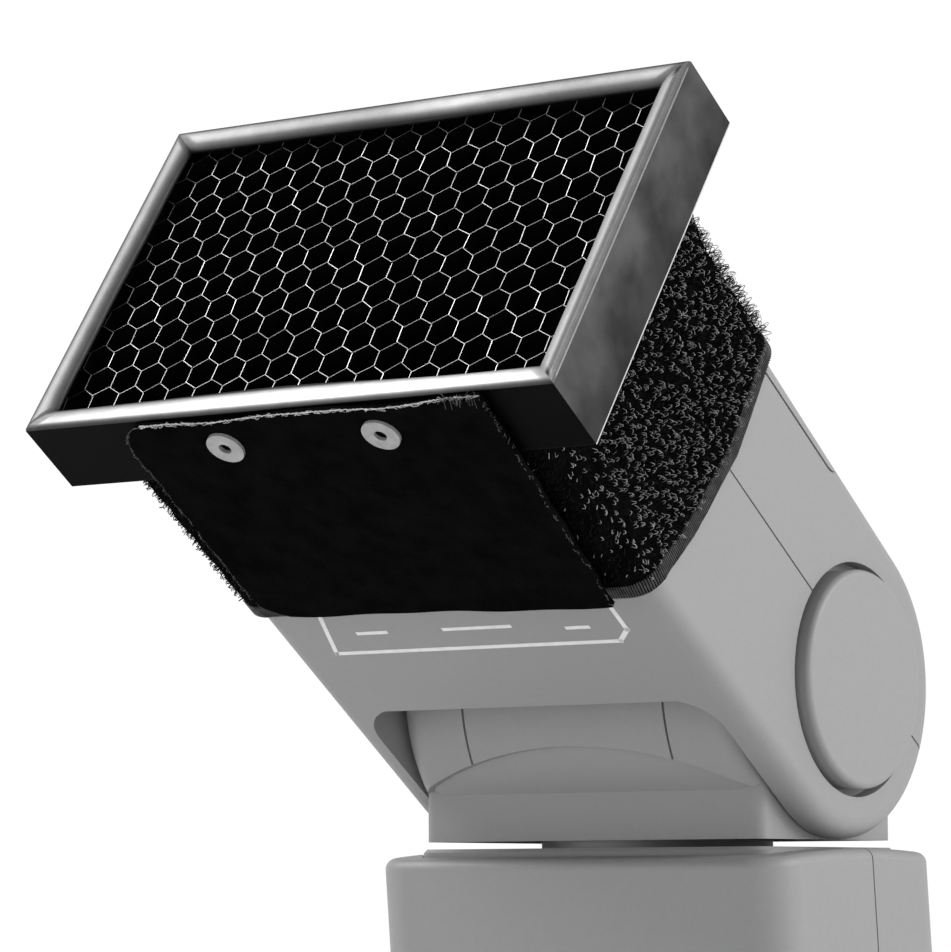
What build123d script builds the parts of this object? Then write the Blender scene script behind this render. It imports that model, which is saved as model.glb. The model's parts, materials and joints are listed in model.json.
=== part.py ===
"""Speedlight flash with a strapped-on honeycomb grid, millimetres, +Z up, front towards -Y.

The origin is the centre of the hot-shoe foot's underside.  The body leans back a little below
the neck, the neck turns on a vertical hub, and the head tilts on a level shaft inside the neck's
barrel.  Three frames carry the design: the row frame, the leaning body frame and the tilted head
frame, whose Z runs forward along the head and whose Y runs up across it.
"""

import os
from math import cos, radians, sin, sqrt

from build123d import *

os.makedirs("parts", exist_ok=True)

# ---- driving dimensions -------------------------------------------------------------------
WALL = 2.0  # moulded shells
GAP = 0.3  # seams between mouldings
RUN = 0.05  # radial clearance of a running fit

BODY_W = 73.0
BODY_D = 49.0
BODY_CORNER = 7.0
BODY_LEAN = 5.7  # degrees, foot end towards the rear
BODY_BOTTOM_Z = 14.0
BODY_SEAM = 3.25  # parting line, in the body frame's Y

NECK_Z = 90.0  # underside of the neck base
NECK_W = 61.0
NECK_D = 38.0
HUB_R = 17.7
TILT_Z = NECK_Z + 23.7  # tilt axis
BARREL_R = 18.6
SHIELD_R = 25.2  # curved front of the neck
APRON_R = 26.4  # its raised three-panel cover
SHAFT_R = 6.0

HEAD_TILT = 35.3  # degrees above level, as posed
HEAD_W = 70.6
HEAD_FRONT = 84.0  # from the tilt axis to the lens end
HEAD_LOW = -23.6
HEAD_HIGH = 25.2  # at the lens end
HEAD_EDGE = 3.0
HEAD_SEAM = 3.2
EAR_IN = 31.0  # inner faces of the two ears
DISC_R = 16.3
DISC_X = 37.1

GRID_W = 91.0
GRID_H = 58.7
GRID_RISE = 2.9  # grid centre above the head axis
GRID_BACK = 84.2
GRID_FRONT = 96.8
GRID_LIP = 3.8
GRID_SHEET = 1.0
CELL = 4.8  # across flats, nominally 3/16 inch
FOIL = 0.15
FLAP_HALF = 30.5
BAND_BACK = 47.0
BAND_FRONT = 83.8

FOOT_W = 18.6  # ISO 518 foot
FOOT_L = 17.0
FOOT_T = 2.0

# ---- frames -------------------------------------------------------------------------------
lean = radians(BODY_LEAN)
tilt = radians(HEAD_TILT)
TILT_AXIS = Axis((0, 0, TILT_Z), (1, 0, 0))
body_frame = Plane(origin=(0, 2.8, 50), x_dir=(1, 0, 0), z_dir=(0, -sin(lean), cos(lean)))
head_frame = Plane(origin=(0, 0, TILT_Z), x_dir=(1, 0, 0), z_dir=(0, -cos(tilt), sin(tilt)))
BACK_BODY = body_frame.y_dir
FORWARD = head_frame.z_dir
UP_HEAD = head_frame.y_dir


def level(z):
    """Horizontal plane at height z: sketch coordinates are (x, y)."""
    return Plane.XY.offset(z)


def deck(z):
    """Cross-section of the body at its own height z: sketch coordinates are (x, y)."""
    return body_frame.offset(z)


def rear_face(out):
    """Plane facing the rear, out from the body's rear skin: sketch coordinates are (-x, z)."""
    centre = body_frame.from_local_coords(Vector(0, BODY_D / 2 + out, 0))
    return Plane(centre, x_dir=(-1, 0, 0), z_dir=BACK_BODY)


def front_face(out):
    """Plane facing the front, out from the body's front skin: sketch coordinates are (x, z)."""
    centre = body_frame.from_local_coords(Vector(0, -BODY_D / 2 - out, 0))
    return Plane(centre, x_dir=(1, 0, 0), z_dir=-BACK_BODY)


def flank(x):
    """Plane facing +X on the body: sketch coordinates are (y, z)."""
    return Plane(body_frame.from_local_coords(Vector(x, 0, 0)), x_dir=BACK_BODY, z_dir=(1, 0, 0))


def section(along):
    """Cross-section of the head: sketch coordinates are (x, up)."""
    return head_frame.offset(along)


def profile(x):
    """Side view of the head, facing -X: sketch coordinates are (along, up)."""
    return Plane(head_frame.from_local_coords(Vector(x, 0, 0)), x_dir=FORWARD, z_dir=(-1, 0, 0))


def cheek(x):
    """Plane facing +X on the head: sketch coordinates are (-along, up)."""
    return Plane(head_frame.from_local_coords(Vector(x, 0, 0)), x_dir=-FORWARD, z_dir=(1, 0, 0))


def belly(up):
    """Plane facing up the head at height up: sketch coordinates are (x, -along)."""
    return Plane(head_frame.from_local_coords(Vector(0, up, 0)), x_dir=(1, 0, 0), z_dir=UP_HEAD)


# ---- sketches that repeat -----------------------------------------------------------------
def rounded(plane, width, height, corner, *centres):
    """Rounded rectangles of one size at each centre on a plane."""
    with BuildSketch(plane) as face:
        with Locations(*(centres or [(0, 0)])):
            RectangleRounded(width, height, corner)
    return face.sketch


def block(plane, width, height, *centres):
    """Plain rectangles of one size at each centre on a plane."""
    with BuildSketch(plane) as face:
        with Locations(*(centres or [(0, 0)])):
            Rectangle(width, height)
    return face.sketch


def disc(plane, radius, *centres, bore=0.0):
    """Discs or rings of one size at each centre on a plane."""
    with BuildSketch(plane) as face:
        with Locations(*(centres or [(0, 0)])):
            Circle(radius)
            if bore:
                Circle(bore, mode=Mode.SUBTRACT)
    return face.sketch


def outline(plane, *points):
    """Closed straight-sided outline on a plane."""
    with BuildSketch(plane) as face:
        with BuildLine():
            Polyline(*points, close=True)
        make_face()
    return face.sketch


def save(piece, name):
    """Label a finished piece and write it as one STEP file."""
    piece.part.label = name
    export_step(piece.part, f"parts/{name}.step")


# ---- body shells --------------------------------------------------------------------------
DOOR = {"y": 0.2, "z": -13.1, "w": 32.2, "h": 31.2}  # battery door on the -X flank
DOOR_SLIDE = 3.0
HINGE_X = -35.7
HINGE_Y = -17.2
WINDOW_Z = -18.0
WINDOW_W = 46.0
WINDOW_H = 17.0
LCD_W = 44.0
LCD_H = 19.0
LCD_Z = 19.0
KEY_Z = 3.5
KEY_PITCH = 17.0
PAD_Z = -15.0
PAD_R = 12.5
PILOT = (-23.0, -9.0)
SWITCH = (23.0, -13.0)
JACK = (-8.0, -20.0)
PORT = (-8.0, -3.0)
PORT_W = 10.6
FOOT_SCREWS = [(x, y) for x in (-13, 13) for y in (-9.5, 11.5)]


def crowned_profile(top_drop, bottom):
    """Side view of the body between its bottom and its crowned top."""
    with BuildSketch(Plane.YZ) as face:
        with BuildLine():
            ThreePointArc((-34, 86.0 - top_drop), (1, 88.7 - top_drop), (36, 86.5 - top_drop))
            Polyline((36, 86.5 - top_drop), (36, bottom), (-34, bottom), (-34, 86.0 - top_drop))
        make_face()
    return face.sketch


with BuildPart() as body_outer:
    extrude(rounded(deck(0), BODY_W, BODY_D, BODY_CORNER), amount=46, both=True)
    extrude(crowned_profile(0, BODY_BOTTOM_Z), amount=60, both=True, mode=Mode.INTERSECT)
    fillet(body_outer.faces().sort_by(Axis.Z)[-1].edges(), radius=1.6)
    fillet(body_outer.faces().sort_by(Axis.Z)[0].edges(), radius=2.0)

with BuildPart() as body_cavity:
    extrude(
        rounded(deck(0), BODY_W - 2 * WALL, BODY_D - 2 * WALL, BODY_CORNER - WALL),
        amount=46,
        both=True,
    )
    extrude(crowned_profile(2.6, BODY_BOTTOM_Z + 2.2), amount=60, both=True, mode=Mode.INTERSECT)


def body_openings():
    """Cut everything that passes through the body's walls."""
    extrude(rounded(level(86.1), 63.0, 40.2, 3.1), amount=6, mode=Mode.SUBTRACT)
    extrude(disc(level(80), HUB_R + 0.25), amount=10, mode=Mode.SUBTRACT)
    extrude(disc(level(79), 19.4), amount=4.9, mode=Mode.SUBTRACT)
    # battery door with room to slide down, and the hinge's groove in front of it
    door_cut = block(
        flank(-BODY_W / 2 - 1),
        DOOR["w"] + 2 * GAP,
        DOOR["h"] + 2 * GAP + DOOR_SLIDE,
        (DOOR["y"], DOOR["z"] - DOOR_SLIDE / 2),
    )
    extrude(door_cut, amount=4, mode=Mode.SUBTRACT)
    hinge_cut = disc(deck(DOOR["z"] - DOOR["h"] / 2 - DOOR_SLIDE - GAP), 1.7, (HINGE_X, HINGE_Y))
    extrude(hinge_cut, amount=DOOR["h"] + DOOR_SLIDE + 2 * GAP, mode=Mode.SUBTRACT)
    hinge_mouth = block(
        deck(DOOR["z"] - DOOR["h"] / 2 - DOOR_SLIDE - GAP),
        3.0,
        2.6,
        (HINGE_X - 1.5, HINGE_Y + 0.4),
    )
    extrude(hinge_mouth, amount=DOOR["h"] + DOOR_SLIDE + 2 * GAP, mode=Mode.SUBTRACT)
    # front window, sockets on the +X flank
    window_cut = rounded(
        front_face(-WALL - 1), WINDOW_W + 0.4, WINDOW_H + 0.4, 3.2, (0, WINDOW_Z)
    )
    extrude(window_cut, amount=5, mode=Mode.SUBTRACT)
    extrude(disc(flank(BODY_W / 2 - WALL - 1), 3.1, JACK), amount=5, mode=Mode.SUBTRACT)
    extrude(block(flank(BODY_W / 2 - WALL - 1), 8.4, 7.4, PORT), amount=5, mode=Mode.SUBTRACT)
    cover_seat = rounded(flank(BODY_W / 2 - 1.3), PORT_W + 1.4, PORT_W, 0.5, PORT)
    extrude(cover_seat, amount=3, mode=Mode.SUBTRACT)
    # display, keys, pad, pilot button and power switch on the rear
    inside = rear_face(-WALL - 1)
    extrude(rounded(inside, LCD_W + 0.4, LCD_H + 0.4, 2.2, (0, LCD_Z)), amount=5, mode=Mode.SUBTRACT)
    keys = rounded(inside, 11.4, 5.0, 2.4, *[(n * KEY_PITCH, KEY_Z) for n in (-1, 0, 1)])
    extrude(keys, amount=5, mode=Mode.SUBTRACT)
    extrude(disc(inside, PAD_R + 0.4, (0, PAD_Z)), amount=5, mode=Mode.SUBTRACT)
    extrude(disc(inside, 4.4, PILOT), amount=5, mode=Mode.SUBTRACT)
    extrude(rounded(inside, 6.2, 13.0, 3.0, SWITCH), amount=5, mode=Mode.SUBTRACT)
    # screws that hold the foot block
    extrude(disc(level(10), 1.1, *FOOT_SCREWS), amount=10, mode=Mode.SUBTRACT)


def body_half(y_from, y_to):
    """Box that keeps the body between two depths of its own frame."""
    return block(deck(-60), 100, y_to - y_from, (0, (y_from + y_to) / 2))


# the front shell's lip runs inside a rabbet of the rear shell, right round the seam
with BuildPart() as seam_lip:
    extrude(
        rounded(deck(0), BODY_W - 2.2, BODY_D - 2.2, BODY_CORNER - 1.1),
        amount=46,
        both=True,
    )
    extrude(crowned_profile(1.3, BODY_BOTTOM_Z + 1.1), amount=60, both=True, mode=Mode.INTERSECT)
    add(body_cavity.part, mode=Mode.SUBTRACT)
    extrude(body_half(BODY_SEAM - 0.6, BODY_SEAM + 1.4), amount=120, mode=Mode.INTERSECT)

with BuildPart() as seam_rabbet:
    extrude(
        rounded(deck(0), BODY_W - 2.0, BODY_D - 2.0, BODY_CORNER - 1.0),
        amount=46,
        both=True,
    )
    extrude(crowned_profile(1.2, BODY_BOTTOM_Z + 1.0), amount=60, both=True, mode=Mode.INTERSECT)
    extrude(body_half(0, BODY_SEAM + 1.6), amount=120, mode=Mode.INTERSECT)

with BuildPart() as front_shell:
    add(body_outer.part)
    add(body_cavity.part, mode=Mode.SUBTRACT)
    extrude(body_half(BODY_SEAM - GAP / 2, 60), amount=120, mode=Mode.SUBTRACT)
    add(seam_lip.part)
    body_openings()
save(front_shell, "front_shell")

with BuildPart() as rear_shell:
    add(body_outer.part)
    add(body_cavity.part, mode=Mode.SUBTRACT)
    extrude(body_half(-60, BODY_SEAM + GAP / 2), amount=120, mode=Mode.SUBTRACT)
    add(seam_rabbet.part, mode=Mode.SUBTRACT)
    body_openings()
save(rear_shell, "rear_shell")

with BuildPart() as neck_platform:
    extrude(rounded(level(86.15), 62.4, 39.6, 2.8), amount=2.75)
    extrude(disc(level(80), HUB_R + 0.25), amount=12, mode=Mode.SUBTRACT)
    chamfer(neck_platform.faces().sort_by(Axis.Z)[-1].outer_wire().edges(), length=0.5)
save(neck_platform, "neck_platform")

# ---- hot-shoe foot ------------------------------------------------------------------------
LEVER_Z = 4.4
LEVER_T = 3.8
PIN_Y = -6.2

with BuildPart() as shoe_block:
    extrude(rounded(level(8.4), 34, 31, 6, (0, 1.5)), amount=BODY_BOTTOM_Z - 8.4)
    chamfer(shoe_block.faces().sort_by(Axis.Z)[0].edges(), length=1.2)
    extrude(disc(level(LEVER_Z), 8.0), amount=5)
    extrude(disc(level(0), 2.0), amount=8.0, mode=Mode.SUBTRACT)
    extrude(disc(level(0), 1.0 + RUN, (0, PIN_Y)), amount=13.0, mode=Mode.SUBTRACT)
    extrude(disc(level(8), 1.1, *FOOT_SCREWS), amount=10, mode=Mode.SUBTRACT)
    extrude(disc(level(8), 2.2, *FOOT_SCREWS), amount=2.6, mode=Mode.SUBTRACT)
save(shoe_block, "shoe_block")

with BuildPart() as shoe_foot:
    extrude(rounded(level(0), FOOT_W, FOOT_L, 1.2), amount=FOOT_T)
    chamfer(shoe_foot.faces().sort_by(Axis.Y)[0].edges(), length=0.4)
    extrude(rounded(level(FOOT_T), 12.2, 14.6, 1.0), amount=1.7)
    extrude(disc(level(FOOT_T + 1.6), 9.6), amount=0.75)
    extrude(disc(level(-1), 1.3 + RUN), amount=8, mode=Mode.SUBTRACT)
    extrude(disc(level(-1), 1.0 + RUN, (0, PIN_Y)), amount=8, mode=Mode.SUBTRACT)
save(shoe_foot, "shoe_foot")

with BuildPart() as foot_screws:
    extrude(disc(level(9.2), 2.0, *FOOT_SCREWS), amount=1.35)
    extrude(disc(level(10.5), 1.0, *FOOT_SCREWS), amount=5.6)
    for x, y in FOOT_SCREWS:
        for wide, tall in ((2.6, 0.5), (0.5, 2.6)):
            extrude(block(level(9.1), wide, tall, (x, y)), amount=0.8, mode=Mode.SUBTRACT)
save(foot_screws, "foot_screws")

with BuildPart() as lock_lever:
    with BuildSketch(level(LEVER_Z + 0.05)):
        Circle(12.6)
        with Locations((0, 16)):
            RectangleRounded(9.0, 20.0, 3.5)
        Circle(8.0 + RUN, mode=Mode.SUBTRACT)
    extrude(amount=LEVER_T - 0.1)
    grip = [(0, 19.0 + 1.6 * n) for n in range(4)]
    extrude(block(level(LEVER_Z - 0.3), 7.0, 0.7, *grip), amount=0.7, mode=Mode.SUBTRACT)
save(lock_lever, "lock_lever")

with BuildPart() as lock_pin:
    extrude(disc(level(0.3), 1.0, (0, PIN_Y)), amount=10.5)
    chamfer(lock_pin.faces().sort_by(Axis.Z)[0].edges(), length=0.3)
save(lock_pin, "lock_pin")

with BuildPart() as centre_contact:
    extrude(disc(level(-0.8), 1.3), amount=5.4)
    fillet(centre_contact.faces().sort_by(Axis.Z)[0].edges(), radius=0.8)
    extrude(disc(level(4.5), 1.8), amount=0.6)
save(centre_contact, "centre_contact")

# ---- front window and optical sensor ------------------------------------------------------
with BuildPart() as front_window:
    extrude(rounded(front_face(-1.8), WINDOW_W, WINDOW_H, 3.0, (0, WINDOW_Z)), amount=2.2)
    rim = front_window.faces().sort_by(Axis(body_frame.origin, BACK_BODY))[0]
    fillet(rim.edges(), radius=0.5)
save(front_window, "front_window")

with BuildPart() as slave_sensor:
    extrude(rounded(front_face(-5.35), 7.0, 7.0, 0.8, (12, WINDOW_Z)), amount=1.6)
    extrude(disc(front_face(-3.75), 2.4, (12, WINDOW_Z)), amount=1.3)
save(slave_sensor, "slave_sensor")

# ---- battery compartment ------------------------------------------------------------------
CELL_R = 7.2
CELL_X = -33.3
CELL_LENGTH = 50.5
CELLS = [(y, z) for y in (-7.5, 7.5) for z in (-21.5, -6.5)]
CAGE_FRONT_X = -34.5

with BuildPart() as battery_cage:
    extrude(rounded(flank(CAGE_FRONT_X), 31.5, 32.0, 1.0, (0, -14)), amount=54.4)
    extrude(disc(flank(CAGE_FRONT_X - 1), CELL_R + 0.2, *CELLS), amount=53.6, mode=Mode.SUBTRACT)
    slots = [(0, z) for z in (-21.5, -6.5)]
    extrude(block(flank(CAGE_FRONT_X - 1), 6.0, 5.0, *slots), amount=53.6, mode=Mode.SUBTRACT)
save(battery_cage, "battery_cage")

with BuildPart() as battery_cells:
    extrude(disc(flank(CELL_X), CELL_R, *CELLS), amount=CELL_LENGTH - 1.3)
    extrude(disc(flank(CELL_X + CELL_LENGTH - 1.3), 2.7, *CELLS), amount=1.3)
save(battery_cells, "battery_cells")

with BuildPart() as battery_contacts:
    for y, z in CELLS:
        for turn in range(4):
            coil = disc(flank(17.25 + 0.2 * turn), 2.2 + 0.8 * turn, (y, z), bore=0.8 + 0.8 * turn)
            extrude(coil, amount=0.22)
save(battery_contacts, "battery_contacts")

with BuildPart() as battery_door:
    door_face = rounded(flank(-BODY_W / 2), DOOR["w"], DOOR["h"], 1.0, (DOOR["y"], DOOR["z"]))
    extrude(door_face, amount=1.5)
    knuckles = [DOOR["z"] + offset for offset in (-11.0, 0.0, 11.0)]
    for height in knuckles:
        extrude(disc(deck(height - 3), 1.2, (HINGE_X, HINGE_Y)), amount=6)
        extrude(block(deck(height - 3), 1.2, 2.4, (HINGE_X + 0.1, HINGE_Y + 1.4)), amount=6)
    bore = disc(deck(DOOR["z"] - 20), 0.6 + RUN, (HINGE_X, HINGE_Y))
    extrude(bore, amount=40, mode=Mode.SUBTRACT)
    grip = [(y, DOOR["z"] + 11.5) for y in range(-6, 7, 2)]
    extrude(rounded(flank(-BODY_W / 2 - 0.35), 0.9, 5.0, 0.4, *grip), amount=0.6)
save(battery_door, "battery_door")

with BuildPart() as door_contacts:
    strips = [(0, z) for z in (-21.5, -6.5)]
    extrude(rounded(flank(-34.95), 25.0, 8.0, 1.0, *strips), amount=0.3)
save(door_contacts, "door_contacts")

with BuildPart() as door_pin:
    extrude(disc(deck(DOOR["z"] - 15.0), 0.6, (HINGE_X, HINGE_Y)), amount=30.0)
save(door_pin, "door_pin")

# ---- electronics in the body --------------------------------------------------------------
with BuildPart() as main_capacitor:
    extrude(disc(flank(-28), 11.0, (-8.5, 16.5)), amount=43)
    fillet(main_capacitor.edges().filter_by(GeomType.CIRCLE), radius=1.0)
    extrude(disc(flank(14.9), 1.0, (-11.5, 16.5), (-5.5, 16.5)), amount=4.0)
save(main_capacitor, "main_capacitor")

with BuildPart() as main_board:
    extrude(block(flank(20.4), 32, 54, (0, -3)), amount=1.6)
    chips = [(-9, 13), (-9, 20)]
    extrude(block(flank(21.9), 8, 5, *chips), amount=1.6)
    extrude(disc(flank(21.9), 3.0, (8, -12), (8, -20)), amount=9.0)
save(main_board, "main_board")

with BuildPart() as charge_transformer:
    extrude(rounded(flank(22.2), 13, 13, 1.0, (8, 12)), amount=11)
    winding = rounded(flank(24.0), 14.5, 14.5, 3.0, (8, 12))
    extrude(winding, amount=7)
save(charge_transformer, "charge_transformer")

with BuildPart() as sync_jack:
    extrude(disc(flank(22.2), 3.0, JACK), amount=BODY_W / 2 - 22.2 + 0.2)
    extrude(disc(flank(33.0), 4.6, JACK), amount=1.3)
    extrude(disc(flank(22.0), 1.8, JACK), amount=20, mode=Mode.SUBTRACT)
save(sync_jack, "sync_jack")

with BuildPart() as power_socket:
    extrude(block(flank(24.0), 8.0, 7.0, PORT), amount=10.8)
    extrude(block(flank(31.9), 6.0, 5.0, PORT), amount=3.0, mode=Mode.SUBTRACT)
    pins = [(PORT[0] + offset, PORT[1]) for offset in (-1.8, 0, 1.8)]
    extrude(disc(flank(31.8), 0.45, *pins), amount=1.6)
save(power_socket, "power_socket")

with BuildPart() as port_cover:
    cover = rounded(flank(BODY_W / 2 - 1.2), PORT_W - 0.2, PORT_W - 0.6, 1.0, (PORT[0] + 0.1, PORT[1]))
    extrude(cover, amount=1.2)
    edge_y = PORT[0] - PORT_W / 2 + 0.1
    extrude(disc(deck(PORT[1] - 4.0), 0.6, (BODY_W / 2 - 0.6, edge_y)), amount=8.0)
    pull = rounded(flank(BODY_W / 2 - 0.1), 1.2, 6.0, 0.5, (PORT[0] + 4.0, PORT[1]))
    extrude(pull, amount=0.6)
save(port_cover, "port_cover")

with BuildPart() as control_board:
    extrude(block(rear_face(-5.55), 60, 55, (0, -2.5)), amount=1.6)
save(control_board, "control_board")

with BuildPart() as lcd_panel:
    extrude(block(rear_face(-3.85), 42, 15.5, (0, LCD_Z - 0.5)), amount=1.6)
save(lcd_panel, "lcd_panel")

with BuildPart() as lcd_window:
    extrude(rounded(rear_face(-1.9), LCD_W, LCD_H, 2.0, (0, LCD_Z)), amount=2.1)
save(lcd_window, "lcd_window")

DETENT = (10.0, 8.5)
with BuildPart() as swivel_detent:
    extrude(rounded(level(73.0), 6, 6, 1, DETENT), amount=5.5)
    extrude(disc(level(78.4), 1.6, DETENT), amount=1.6)
    fillet(swivel_detent.faces().sort_by(Axis.Z)[-1].edges(), radius=1.2)
save(swivel_detent, "swivel_detent")

# ---- controls on the rear -----------------------------------------------------------------
KEY_NAMES = ["key_mode", "key_zoom", "key_light"]
for number, key_name in enumerate(KEY_NAMES):
    centre = ((number - 1) * KEY_PITCH, KEY_Z)
    with BuildPart() as key:
        extrude(rounded(rear_face(-2.25), 11.0, 4.6, 2.2, centre), amount=3.1)
        crest = key.faces().sort_by(Axis(body_frame.origin, BACK_BODY))[-1]
        fillet(crest.edges(), radius=0.5)
        extrude(rounded(rear_face(-3.15), 13.0, 6.6, 2.2, centre), amount=1.0)
    save(key, key_name)

with BuildPart() as pad_gimbal:
    extrude(disc(rear_face(-3.05), 11.8, (0, PAD_Z), bore=7.2), amount=0.9)
    extrude(disc(rear_face(-2.25), 0.8, (0, PAD_Z - 9.5), (0, PAD_Z + 9.5)), amount=0.75)
save(pad_gimbal, "pad_gimbal")

with BuildPart() as select_pad:
    extrude(disc(rear_face(-1.45), PAD_R, (0, PAD_Z), bore=6.4), amount=2.5)
    crest = select_pad.faces().sort_by(Axis(body_frame.origin, BACK_BODY))[-1]
    fillet(crest.edges(), radius=0.9)
    for dx, dz in ((9.4, 0), (-9.4, 0), (0, 9.4), (0, -9.4)):
        extrude(disc(rear_face(0.65), 0.7, (dx, PAD_Z + dz)), amount=0.9)
save(select_pad, "select_pad")

with BuildPart() as set_key:
    extrude(disc(rear_face(-3.15), 5.8, (0, PAD_Z)), amount=4.5)
    crest = set_key.faces().sort_by(Axis(body_frame.origin, BACK_BODY))[-1]
    fillet(crest.edges(), radius=0.8)
save(set_key, "set_key")

with BuildPart() as pilot_button:
    extrude(disc(rear_face(-2.25), 4.1, PILOT), amount=3.2)
    crest = pilot_button.faces().sort_by(Axis(body_frame.origin, BACK_BODY))[-1]
    fillet(crest.edges(), radius=0.7)
    extrude(disc(rear_face(-3.15), 5.2, PILOT), amount=1.0)
save(pilot_button, "pilot_button")

with BuildPart() as power_slider:
    home = (SWITCH[0], SWITCH[1] - 3.0)
    extrude(rounded(rear_face(-2.25), 5.7, 6.0, 2.4, home), amount=3.0)
    ridges = [(home[0], home[1] + offset) for offset in (-1.4, 0, 1.4)]
    extrude(block(rear_face(0.65), 3.8, 0.6, *ridges), amount=0.5)
    extrude(rounded(rear_face(-3.15), 8.4, 19.0, 1.0, home), amount=1.0)
save(power_slider, "power_slider")

# ---- neck ---------------------------------------------------------------------------------
def sweep_profile(angle, low, high, half, corner):
    """Half-section through the tilt axis at an angle above level: coordinates (x, radius)."""
    turn = radians(angle)
    plane = Plane((0, 0, TILT_Z), x_dir=(1, 0, 0), z_dir=(0, -sin(turn), -cos(turn)))
    with BuildSketch(plane) as face:
        with BuildLine():
            Line((-half, low), (half, low))
            Line((half, low), (half, high - corner))
            RadiusArc((half, high - corner), (half - corner, high), -corner)
            Line((half - corner, high), (-half + corner, high))
            RadiusArc((-half + corner, high), (-half, high - corner), -corner)
            Line((-half, high - corner), (-half, low))
        make_face()
    return face.sketch


SHIELD_TOP = 47.0  # degrees above level where the curved front ends
ARCH_TOP = NECK_Z + 13.9
ARCH_END = NECK_Z + 6.5

with BuildPart() as apron:
    revolve(
        sweep_profile(SHIELD_TOP, 20.0, APRON_R, NECK_W / 2, 4.0),
        axis=TILT_AXIS,
        revolution_arc=SHIELD_TOP + 40,
    )
    with BuildSketch(Plane.XZ.offset(-10)) as below_arch:
        with BuildLine():
            ThreePointArc((-NECK_W / 2 - 1, ARCH_END), (0, ARCH_TOP), (NECK_W / 2 + 1, ARCH_END))
            Polyline(
                (NECK_W / 2 + 1, ARCH_END),
                (NECK_W / 2 + 1, NECK_Z - 10),
                (-NECK_W / 2 - 1, NECK_Z - 10),
                (-NECK_W / 2 - 1, ARCH_END),
            )
        make_face()
    extrude(below_arch.sketch, amount=60, mode=Mode.SUBTRACT)
    for seam_x in (-18, 18):
        groove = disc(Plane.YZ.offset(seam_x - 0.2), APRON_R + 1, (0, TILT_Z), bore=APRON_R - 0.5)
        extrude(groove, amount=0.4, mode=Mode.SUBTRACT)

with BuildPart() as neck_block:
    extrude(rounded(level(NECK_Z), NECK_W, NECK_D, 2.0), amount=TILT_Z - NECK_Z)
    extrude(disc(Plane.YZ, BARREL_R, (0, TILT_Z)), amount=NECK_W / 2 - 0.2, both=True)
    revolve(
        sweep_profile(SHIELD_TOP, 8.0, SHIELD_R, NECK_W / 2 - 0.1, 4.0),
        axis=TILT_AXIS,
        revolution_arc=SHIELD_TOP + 47,
    )
    add(apron.part)
    extrude(disc(level(84.0), HUB_R), amount=6.5)
    extrude(disc(level(80.2), 16.5), amount=4)
    extrude(disc(level(78), 9.0), amount=30, mode=Mode.SUBTRACT)
    extrude(rounded(level(NECK_Z + 2.5), 38, 31, 3.0), amount=20, mode=Mode.SUBTRACT)
    extrude(disc(Plane.YZ, BARREL_R - 2.2, (0, TILT_Z)), amount=19, both=True, mode=Mode.SUBTRACT)
    revolve(
        sweep_profile(SHIELD_TOP - 5, 12.0, SHIELD_R - 1.8, 19.0, 1.0),
        axis=TILT_AXIS,
        revolution_arc=SHIELD_TOP + 35,
        mode=Mode.SUBTRACT,
    )
    extrude(disc(Plane.YZ, SHAFT_R + 0.02, (0, TILT_Z)), amount=40, both=True, mode=Mode.SUBTRACT)
save(neck_block, "neck_block")

with BuildPart() as swivel_ring:
    extrude(disc(level(80.2), 19.0, bore=16.52), amount=3.4)
save(swivel_ring, "swivel_ring")

with BuildPart() as tilt_shafts:
    for side in (-1, 1):
        extrude(disc(Plane.YZ.offset(side * 22), SHAFT_R, (0, TILT_Z), bore=3.6), amount=side * 10.7)
save(tilt_shafts, "tilt_shafts")

with BuildPart() as neck_loom:
    strands = [(0, 0)] + [(2.4 * cos(radians(a)), 2.4 * sin(radians(a))) for a in range(0, 360, 60)]
    for x, y in strands:
        extrude(disc(level(79.0), 1.15, (x, y)), amount=26)
save(neck_loom, "neck_loom")

# ---- head shells --------------------------------------------------------------------------
TOP_SLOPE = 0.0191  # the top line is tangent to the rear round
REAR_R = -HEAD_LOW
POCKET_R = 26.9
BULKHEAD_R = 28.4
RECESS_FRONT = 26.0


def on_circle(radius, angle):
    """Point on a circle about the tilt axis, degrees above the head axis."""
    return (radius * cos(radians(angle)), radius * sin(radians(angle)))


with BuildPart() as head_outer:
    with BuildSketch(profile(0)) as side_view:
        with BuildLine():
            Line((HEAD_FRONT, HEAD_LOW), (0, HEAD_LOW))
            ThreePointArc((0, HEAD_LOW), (-REAR_R, 0), on_circle(REAR_R, 91.1))
            Line(on_circle(REAR_R, 91.1), (HEAD_FRONT, HEAD_HIGH))
            Line((HEAD_FRONT, HEAD_HIGH), (HEAD_FRONT, HEAD_LOW))
        make_face()
    extrude(side_view.sketch, amount=HEAD_W / 2, both=True)
    long_edges = [
        edge
        for face in (head_outer.faces().sort_by(Axis.X)[0], head_outer.faces().sort_by(Axis.X)[-1])
        for edge in face.edges()
        if head_frame.to_local_coords(edge.center()).Z < HEAD_FRONT - 1
    ]
    fillet(long_edges, radius=HEAD_EDGE)

with BuildPart() as head_cavity:
    with BuildSketch(profile(0)) as inner_view:
        with BuildLine():
            Polyline(
                (10, HEAD_LOW + WALL),
                (90, HEAD_LOW + WALL),
                (90, REAR_R + 90 * TOP_SLOPE - WALL),
                (10, REAR_R + 10 * TOP_SLOPE - WALL),
                close=True,
            )
        make_face()
        Circle(BULKHEAD_R, mode=Mode.SUBTRACT)
        with BuildLine():
            Polyline((0, 0), (20.9, -17.4), (27.0, -22.4), (27.0, -30), (0, -30), close=True)
        make_face(mode=Mode.SUBTRACT)
    extrude(inner_view.sketch, amount=HEAD_W / 2 - WALL, both=True)

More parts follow.
